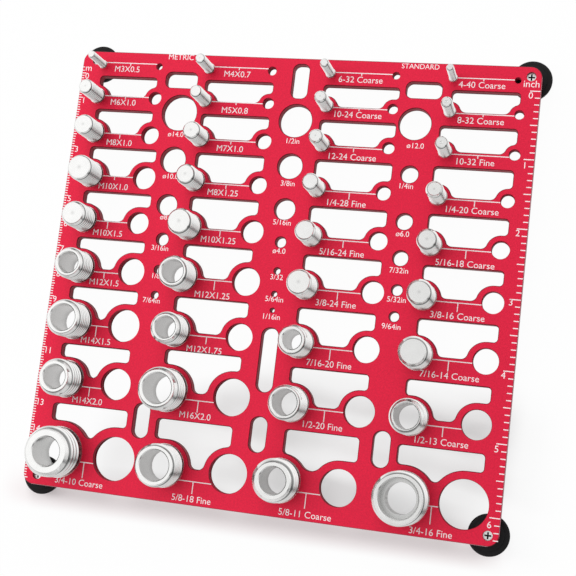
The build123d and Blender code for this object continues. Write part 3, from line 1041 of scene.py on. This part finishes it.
def build_stud(name, shape, material):
    """One threaded stud in place of its CAD node."""
    settings = bpy.context.scene.checker_studs
    mount = "nut_check_" + name
    note = NOTES[mount]
    x, y = mount_place(mount)
    base, top = (corner.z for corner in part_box("stud_" + name))
    pitch, start = note["pitch_mm"], FACE + COLLAR_HEIGHT
    turns = math.ceil((top / MM - start) / pitch) + SPARE_TURNS
    mouth, mouth_foot, depth, lip = stud_mouth(name, (top - base) / MM, settings.lip / MM)
    lengths = {
        "radius": mount_radius(mount), "collar": pressed_radius(name), "pitch": pitch,
        "depth": settings.depth_share * pitch, "start": start, "chamfer": note["tip_chamfer_mm"],
        "bore": note["bore_mm"] / 2, "mouth": mouth / 2, "mouth_foot": mouth_foot / 2,
        "mouth_depth": depth, "lip": lip, "x": x, "y": y,
    }
    mesh = shape.grow({
        **{label: length * MM for label, length in lengths.items()}, "base": base, "top": top,
        "segments": settings.segments, "thread_rows": len(STUD_FLATS) * turns + 1,
        "finish": material})
    return finished("threaded_stud_" + name, mesh, material, SMOOTH_STUD)


# Into how many steps a letter's curve is cut between two of its points
LETTER_STEPS = 4


def letter_mesh(words, size, relief):
    """Points and faces of a line of words about the origin."""
    curve = bpy.data.curves.new("words", "FONT")
    curve.body = words
    curve.size = size
    curve.extrude = relief
    curve.align_x = "CENTER"
    curve.resolution_u = LETTER_STEPS
    mesh = taken(placed("words", curve))
    bpy.data.curves.remove(curve)
    points = np.zeros(3 * len(mesh.vertices))
    mesh.vertices.foreach_get("co", points)
    faces = [tuple(face.vertices) for face in mesh.polygons]
    bpy.data.meshes.remove(mesh)
    return points.reshape(-1, 3), faces


def font_cap_height():
    """Height of a capital letter of the built-in font at size 1."""
    points, _ = letter_mesh("H", 1.0, 0.0)
    return np.ptp(points[:, 1])


def all_words():
    """Every line of words, with its middle and its size as a share of the letter height."""
    lines = [(words, *middle, 1.0) for words, middle, _, _ in STATIONS.values()]
    lines += [(words, x, y, GAUGE_SHARE) for words, x, y in GAUGE_WORDS]
    lines += EDGE_WORDS
    lines += [(digit, x, y, 1.0) for digit, x, y in INCH_DIGITS]
    for number in range(CENTIMETRES):
        words = str(number)
        y = RULER_ZERO - CM_DROP - CENTIMETRE * number
        lines.append((words, CM_MIDDLES[len(words) - 1], y, 1.0))
    return lines


def build_words(material):
    """All the engraved words and digits as one piece."""
    settings = bpy.context.scene.checker_engraving
    font_height = font_cap_height()
    shell = Shell()
    for words, x, y, share in all_words():
        height = share * (settings.cap_height / MM)
        points, faces = letter_mesh(words, height / font_height, settings.relief / MM)
        points[:, 0] -= (points[:, 0].max() + points[:, 0].min()) / 2
        points[:, 1] -= height / 2
        points += np.array(plate_point(x, y))
        shell.add(points, faces)
    return shell.piece("engraved_words", material, SMOOTH_ENGRAVING, turn=False)


def half_chord(radius, distance):
    """Half of the chord of a circle at a distance from its middle."""
    return math.sqrt(max(radius ** 2 - distance ** 2, 0.0))


def build_lines(material):
    """The lines from the studs to the holes, each with the tick that drops to its words."""
    settings = bpy.context.scene.checker_engraving
    half = settings.line_width / MM / 2
    relief = settings.relief / MM
    countersink = bpy.context.scene.checker_plate.countersink / MM
    shell = Shell()
    for name, (_, _, line, (tick, low)) in STATIONS.items():
        stud, hole = "nut_check_" + name, "bolt_check_" + name
        x, y = LEFT + tick, FRONT + line
        stud_x, stud_y = mount_place(stud)
        hole_x, hole_y = mount_place(hole)
        start = stud_x + half_chord(mount_radius(stud), y - stud_y) - LINE_START
        end = hole_x - half_chord(mount_radius(hole) + countersink, y - hole_y)
        shell.box((start, y - half, FACE - relief), (end, y + half, FACE + relief))
        shell.box((x - half, FRONT + low, FACE - relief), (x + half, y - half, FACE + relief))
    return shell.piece("engraved_lines", material, SMOOTH_ENGRAVING)


TICK_LENGTHS = "edge zero face spacing inward short middle long width relief"
TICK_COUNTS = "count middle_every long_every"


def tick_tree():
    """Geometry nodes for a ruler: a row of ticks, of which every so many is longer."""
    shape = Shape("ruler_ticks", TICK_LENGTHS, TICK_COUNTS)
    given = shape.given
    line = shape.node("GeometryNodeMeshLine", {
        "Count": given.count, "Start Location": shape.vector(given.edge, given.zero, given.face),
        "Offset": shape.vector(y=-given.spacing)})
    index = shape.node("GeometryNodeInputIndex")
    is_long = index % given.long_every < HALF
    is_middle = (index % given.middle_every < HALF) * (1.0 - is_long)
    length = (given.short + is_middle * (given.middle - given.short)
              + is_long * (given.long - given.short))
    middles = shape.node("GeometryNodeSetPosition", {
        "Geometry": line, "Offset": shape.vector(x=length * given.inward * HALF)})
    block = shape.node("GeometryNodeMeshCube", {"Size": (1.0, 1.0, 1.0)})
    return shape.close(shape.node("GeometryNodeInstanceOnPoints", {
        "Points": middles, "Instance": block,
        "Scale": shape.vector(length, given.width, given.relief * 2.0)}))


def build_ruler(name, shape, material):
    """One ruler's ticks along an edge of the plate."""
    settings = bpy.context.scene.checker_engraving
    edge, inward, spacing, lengths, counts = RULERS[name]
    short, middle, long = (length * MM for length in lengths)
    mesh = shape.grow({
        "edge": (LEFT + edge) * MM, "zero": (FRONT + RULER_ZERO) * MM, "face": FACE * MM,
        "spacing": spacing * MM, "inward": inward, "short": short, "middle": middle,
        "long": long, "width": settings.tick_width, "relief": settings.relief,
        **dict(zip(TICK_COUNTS.split(), counts)), "finish": material})
    return finished(name, mesh, material, SMOOTH_ENGRAVING)


def build_foot(corner, material):
    """One rubber foot: its section turned round its axis."""
    settings = bpy.context.scene.checker_feet
    shell = Shell()
    shell.turned(foot_axis(corner), FOOT_PROFILE + FOOT_PROFILE[:1], settings.segments)
    return shell.piece("rubber_foot_" + corner, material)


def ready(piece, slot, *replaced):
    """Say what a piece rides on, and the CAD nodes that it stands for. Its material slot is not
    used.
    """
    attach(piece, "root")
    if replaced:
        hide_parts(*replaced)


class CHECKER_OT_plate(bpy.types.Operator):
    """Cut the anodised plate with its threads and deburred edges"""

    bl_idname = "checker.plate"
    bl_label = "Gauge plate"

    def execute(self, context):
        ready(build_plate(), "anodised_plate", "gauge_plate")
        return {"FINISHED"}


class CHECKER_OT_engraving(bpy.types.Operator):
    """Engrave the words, the lines and the two rulers"""

    bl_idname = "checker.engraving"
    bl_label = "Engraving"

    def execute(self, context):
        material = engraving_finish()
        ticks = tick_tree()
        pieces = [build_words(material), build_lines(material)]
        pieces += [build_ruler(name, ticks, material) for name in RULERS]
        for piece in pieces:
            ready(piece, "anodised_plate")
        return {"FINISHED"}


class CHECKER_OT_studs(bpy.types.Operator):
    """Turn the threaded studs, one for each thread"""

    bl_idname = "checker.studs"
    bl_label = "Studs"

    def execute(self, context):
        shape = stud_tree()
        material = plated_finish()
        for name in STATIONS:
            ready(build_stud(name, shape, material), "plated_steel", "stud_" + name)
        return {"FINISHED"}


class CHECKER_OT_feet(bpy.types.Operator):
    """Mould the rubber feet and plate the screws and nuts that hold them"""

    bl_idname = "checker.feet"
    bl_label = "Feet"

    def execute(self, context):
        rubber = rubber_finish()
        head_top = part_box("foot_screw_front_left")[1].z / MM
        nickel = {"foot_screw_": fixing_finish("fixing_steel_screws", head_top),
                  "foot_nut_": fixing_finish("fixing_steel_nuts")}
        for corner in FOOT_CORNERS:
            ready(build_foot(corner, rubber), "foot_rubber", "foot_" + corner)
            for node, material in nickel.items():
                for place in frame["nodes"][node + corner].material_slots:
                    place.material = material
        return {"FINISHED"}


# How much of the floor's glow mirrors see
MIRRORED_GLOW = 0.50

# The shade under the plate, in millimetres from its lower left corner: its upper end, which drops
# to the left of a bend, its front, right and left ends, of which the right one leans, how soft
# they are and how much sharper the front one is, and the fainter fan beyond the right end
SHADED_TOP = 50.0
TOP_BEND = 90.0
TOP_DROP = 0.35
SHADED_FRONT = -6.0
SHADED_RIGHT = 173.0
SHADED_SLANT = 0.10
SHADED_LEFT = 28.0
SHADE_SOFT = 9.0
FRONT_SHARPER = 2.0
FAN_SHARE = 0.16
FAN_RIGHT = 195.0

# The pink band under the plate's front edge: its two ends, its depth of shade and its tint
FRONT_ENDS = (-6.0, 176.0)
FRONT_SHADE = 2.0
SHADE_TINT = (1.0, 0.84, 0.86)

# The streaks in the shade: their turns in a millimetre across and along, how they lean, their
# contrast, and the share of the shade that is left between them
STREAK_ACROSS = 0.012
STREAK_ALONG = 0.075
STREAK_LEAN = 0.12
STREAK_CONTRAST = 3.0
LEAST_SHADE = 0.42


def floor_shade(finish):
    """How shaded the floor is behind the plate, and how much of its front band lies there."""
    spot_x, spot_y, _ = finish.parts(finish.place)
    x, y = spot_x / MM - LEFT, spot_y / MM - FRONT

    def passed(distance):
        """From 0 to 1 where a distance passes zero, in millimetres."""
        return finish.rise(distance, (-SHADE_SOFT, SHADE_SOFT))

    top = SHADED_TOP - TOP_DROP * (TOP_BEND - x).most(0.0)
    under = passed((y - SHADED_FRONT) * FRONT_SHARPER)
    right = (1.0 - FAN_SHARE) * passed(SHADED_RIGHT + SHADED_SLANT * y - x)
    right = right + FAN_SHARE * passed(FAN_RIGHT - x)
    shaded = passed(top - y) * under * right * passed(x - SHADED_LEFT)
    front = passed(-y) * under * passed(x - FRONT_ENDS[0]) * passed(FRONT_ENDS[1] - x)
    place = finish.vector(x * STREAK_ACROSS, (y + STREAK_LEAN * x) * STREAK_ALONG)
    streaks = finish.noise(FLOOR_STREAKS, "2D", Vector=place)
    streaks = ((streaks - HALF) * STREAK_CONTRAST + HALF).most(0.0).least(1.0)
    return shaded * (LEAST_SHADE + (1.0 - LEAST_SHADE) * streaks), front


def white_floor(settings):
    """A floor that the camera sees as white, and as less white where its shade lies."""
    finish = Finish("white_floor")
    path = finish.node("ShaderNodeLightPath")
    seen = path.output("Is Camera Ray").most(MIRRORED_GLOW * path.output("Is Glossy Ray"))
    shaded, front = floor_shade(finish)
    dim = settings.shade * shaded.most(FRONT_SHADE * front)
    share = settings.floor_glow * (1.0 - dim)
    matt = finish.node("ShaderNodeBsdfDiffuse", {"Color": rgba(settings.floor_colour)})
    tint = finish.blend(front, WHITE, rgba(SHADE_TINT))
    glow = finish.node("ShaderNodeEmission", {"Color": tint, "Strength": 1.0})
    both = finish.node("ShaderNodeMixShader", {0: seen * share, 1: matt, 2: glow})
    finish.node("ShaderNodeOutputMaterial", {"Surface": both})
    return finish.material


# The side of the studio that is lit, and how bright the studio is from its dark to its lit side
BRIGHT_SIDE = Vector((-0.80, 0.10, 0.60)).normalized()
SKY_TONES = [(0.46, 0.01), (0.60, 0.40), (0.82, 0.80), (0.93, 1.24)]

# What bright metal mirrors on the right: screens behind and in front, with a dark gap between them
SCREEN_BEHIND = 1.18
SCREEN_IN_FRONT = 0.80
SCREEN_TURN = 0.25
SCREEN_TOP = (0.92, 0.83)
SCREEN_FOOT = (-0.05, 0.13)
SCREEN_LEFT = (-0.45, -0.15)
GAP_ACROSS = Vector((0.5, 0.866, 0.0))
GAP_HALF = (0.05, 0.15)
GAP_LEFT = (0.20, 0.35)
GAP_TONE = 0.06


def mirrored_sky(sky, way, tone):
    """The brightness of the studio as bright metal shows it."""
    x, y, z = sky.parts(way)
    behind = sky.rise(y, (-SCREEN_TURN, SCREEN_TURN))
    screen = SCREEN_IN_FRONT + (SCREEN_BEHIND - SCREEN_IN_FRONT) * behind
    across = sky.dot(way, GAP_ACROSS)
    gap = (1.0 - sky.rise(across.most(-across), GAP_HALF)) * sky.rise(x, GAP_LEFT)
    screen = (screen + gap * (GAP_TONE - screen)) * sky.rise(z, SCREEN_FOOT)
    share = sky.rise(z, SCREEN_TOP) * sky.rise(x, SCREEN_LEFT)
    return tone + share * (screen - tone)


def light_world(settings):
    """Pale light from all round, brighter from one side."""
    world = bpy.data.worlds.new("studio")
    bpy.context.scene.world = world
    world.use_nodes = True
    sky = Tree(world.node_tree)
    path = sky.node("ShaderNodeLightPath")
    way = sky.node("ShaderNodeTexCoord").output("Generated")
    toward = sky.dot(way, BRIGHT_SIDE)
    tone = sky.node("ShaderNodeValToRGB", {"Fac": HALF + HALF * toward}, SKY_TONES)
    tone = sky.node("ShaderNodeSeparateColor", {0: tone})
    mirrored = mirrored_sky(sky, way, tone)
    tone = (tone + path.output("Is Glossy Ray") * (mirrored - tone)) * settings.sky
    strength = tone + path.output("Is Camera Ray") * (1.0 - tone)
    light = sky.node("ShaderNodeBackground", {"Color": WHITE, "Strength": strength})
    sky.node("ShaderNodeOutputWorld", {"Surface": light})


def add_floor(settings):
    """The square floor, laid by the stage step."""
    half = settings.floor_size / 2
    mesh = bpy.data.meshes.new("studio_floor")
    mesh.from_pydata(
        [(-half, -half, 0.0), (half, -half, 0.0), (half, half, 0.0), (-half, half, 0.0)],
        [], [(0, 1, 2, 3)])
    mesh.materials.append(white_floor(settings))
    placed("studio_floor", mesh)


# Each lamp's place and the side of its square, in metres, and its share of the power
LAMPS = {
    "key": ((-1.85, 0.20, 0.85), 1.1, 0.55),
    "back": ((-0.35, 1.60, 0.85), 0.9, 0.45),
}


def add_lamp(name, power):
    """A square lamp that points at the middle of the floor, and that mirrors don't see."""
    place, size, share = LAMPS[name]
    data = bpy.data.lights.new(name, "AREA")
    data.shape = "SQUARE"
    data.size = size
    data.energy = share * power
    lamp = placed(name, data)
    lamp.location = place
    lamp.rotation_euler = (-Vector(place)).to_track_quat("-Z", "Y").to_euler()
    lamp.visible_glossy = False


def add_camera():
    """The photograph's camera."""
    data = bpy.data.cameras.new("photo_view")
    data.sensor_width = EYE_SENSOR
    data.lens = EYE_LENS
    data.clip_start = EYE_NEAR
    data.shift_x, data.shift_y = EYE_SHIFT
    camera = placed("photo_view", data)
    camera.location = plate_point(*EYE) * MM
    camera.rotation_euler = Euler([math.radians(turn) for turn in EYE_TURN])
    bpy.context.scene.camera = camera


class CHECKER_OT_stage(bpy.types.Operator):
    """Set the floor, the lamps and the camera"""

    bl_idname = "checker.stage"
    bl_label = "Stage"

    def execute(self, context):
        settings = context.scene.checker_stage
        add_floor(settings)
        light_world(settings)
        for name in LAMPS:
            add_lamp(name, settings.lamp_power)
        add_camera()
        context.scene.view_settings.view_transform = "Standard"
        return {"FINISHED"}


class CHECKER_PT_panel(bpy.types.Panel):
    """The steps that dress the thread checker, with their sizes and colours"""

    bl_idname = "CHECKER_PT_panel"
    bl_label = "Thread checker"
    bl_space_type = "VIEW_3D"
    bl_region_type = "UI"
    bl_category = "Thread checker"

    def draw(self, context):
        for operator, _ in STEPS:
            box = self.layout.box()
            box.operator(operator.bl_idname)
            settings = getattr(context.scene, settings_name(operator))
            for name in type(settings).__annotations__:
                box.prop(settings, name)


# Each step's operator and its settings, in the order in which they run
STEPS = [
    (CHECKER_OT_stage, StageSettings), (CHECKER_OT_plate, PlateSettings),
    (CHECKER_OT_engraving, EngravingSettings), (CHECKER_OT_studs, StudSettings),
    (CHECKER_OT_feet, FootSettings),
]
CLASSES = [item for step in STEPS for item in step] + [CHECKER_PT_panel]


def settings_name(operator):
    """The name that the scene has for the settings of an operator."""
    return operator.bl_idname.replace(".", "_")


def register():
    for item in CLASSES:
        bpy.utils.register_class(item)
    for operator, settings in STEPS:
        setattr(bpy.types.Scene, settings_name(operator), PointerProperty(type=settings))


def unregister():
    for operator, _ in STEPS:
        delattr(bpy.types.Scene, settings_name(operator))
    for item in reversed(CLASSES):
        bpy.utils.unregister_class(item)


def main():
    register()
    for operator, _ in STEPS:
        area, step = operator.bl_idname.split(".")
        getattr(getattr(bpy.ops, area), step)()


if __name__ == "__main__":
    main()
